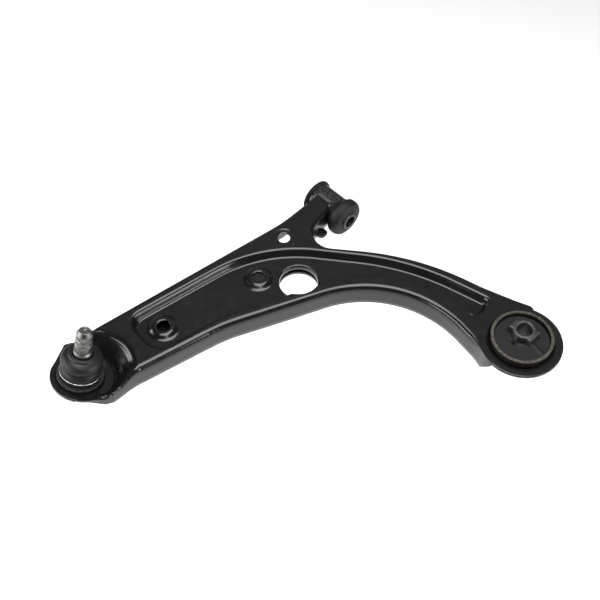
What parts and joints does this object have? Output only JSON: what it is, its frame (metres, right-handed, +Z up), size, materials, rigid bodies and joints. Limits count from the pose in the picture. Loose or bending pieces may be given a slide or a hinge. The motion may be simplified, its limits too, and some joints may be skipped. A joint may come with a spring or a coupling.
{
  "type": "lower control arm",
  "caption": "Pressed steel lower control arm with a front bush along the car, an upright rear bush and a ball joint with stud and dust boot.",
  "frame": {"origin": "centre of the front bush, on its axis", "axes": "+X runs back along the front bush to the rear bush, +Z up along the rear bush, the ball joint lies out along -Y"},
  "size_m": [0.3197, 0.3609, 0.0794],
  "materials": {
    "black_coat": "semi-gloss black dip coat",
    "weld": "weld bead under black coat",
    "zinc_steel": "dull phosphated steel",
    "bare_steel": "turned and blasted steel",
    "dark_steel": "black phosphated steel",
    "spring_steel": "bright spring steel",
    "bush_rubber": "matte moulded rubber",
    "boot_rubber": "satin moulded rubber",
    "seat_plastic": "moulded acetal"
  },
  "bodies": {
    "arm": {"upper_shell": "black_coat", "lower_plate": "black_coat", "rear_bush_collar": "black_coat", "eye_gusset": "black_coat", "front_bush_eye": "black_coat", "eye_weld_beads": "weld", "seam_welds": "weld", "rear_bush_can": "zinc_steel", "rear_bush_rubber": "bush_rubber", "front_bush_can": "zinc_steel", "front_bush_rubber": "bush_rubber", "ball_joint_housing": "dark_steel", "ball_joint_seat": "seat_plastic", "seat_preload_spring": "spring_steel", "ball_joint_cover": "zinc_steel", "ball_joint_circlip": "spring_steel", "boot_lower_ring": "spring_steel"},
    "stud_swing": {"dust_boot": "boot_rubber"},
    "stud_tilt": {"boot_upper_ring": "spring_steel"},
    "stud": {"ball_stud": "bare_steel"},
    "front_sleeve": {"front_bush_sleeve": "bare_steel"},
    "rear_core": {"rear_bush_core": "bare_steel"}
  },
  "joints": [
    {"name": "ball_swing", "type": "hinge", "parent": "arm", "child": "stud_swing", "pos_m": [-0.01238, -0.29876, -0.00132], "axis": [0.9992, -0.0113, -0.0385], "range_deg": [-18, 18], "deforming": ["dust_boot"]},
    {"name": "ball_tilt", "type": "hinge", "parent": "stud_swing", "child": "stud_tilt", "pos_m": [-0.01238, -0.29876, -0.00132], "axis": [0, 0.9598, -0.2807], "range_deg": [-18, 18]},
    {"name": "ball_spin", "type": "hinge", "parent": "stud_tilt", "child": "stud", "pos_m": [-0.01238, -0.29876, -0.00132], "axis": [0.0401, 0.2804, 0.959], "continuous": true},
    {"name": "front_bush_twist", "type": "hinge", "parent": "arm", "child": "front_sleeve", "pos_m": [0, 0, 0], "axis": [1, 0, 0], "range_deg": [-15, 15], "stiffness_Nm_per_rad": 50, "deforming": ["front_bush_rubber"]},
    {"name": "rear_bush_tilt", "type": "hinge", "parent": "arm", "child": "rear_core", "pos_m": [0.2312, 0, 0], "axis": [1, 0, 0], "range_deg": [-15, 15], "stiffness_Nm_per_rad": 50, "deforming": ["rear_bush_rubber"]}
  ],
  "couplings": [
    {"joint": "rear_bush_tilt", "follows": "front_bush_twist", "ratio": 1}
  ]
}
